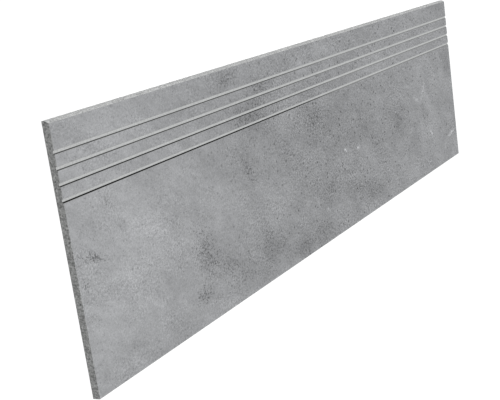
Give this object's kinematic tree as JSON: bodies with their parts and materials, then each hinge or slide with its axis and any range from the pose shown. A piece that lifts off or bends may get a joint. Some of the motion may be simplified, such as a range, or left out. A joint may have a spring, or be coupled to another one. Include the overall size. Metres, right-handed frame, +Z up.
{
  "type": "porcelain step tile",
  "caption": "Rectangular porcelain stair tread tile with a ground nosing edge, anti-slip grooves along the nosing and a keyed back.",
  "frame": {"origin": "centre of the underside, on the plane of the bedding ribs", "axes": "+X along the tile's length, +Y from the nosing to the rear edge, +Z up out of the walking face"},
  "size_m": [1.2, 0.3, 0.009],
  "materials": {
    "porcelain": "matte"
  },
  "bodies": {
    "root": {"step_tile": "porcelain"}
  },
  "joints": []
}
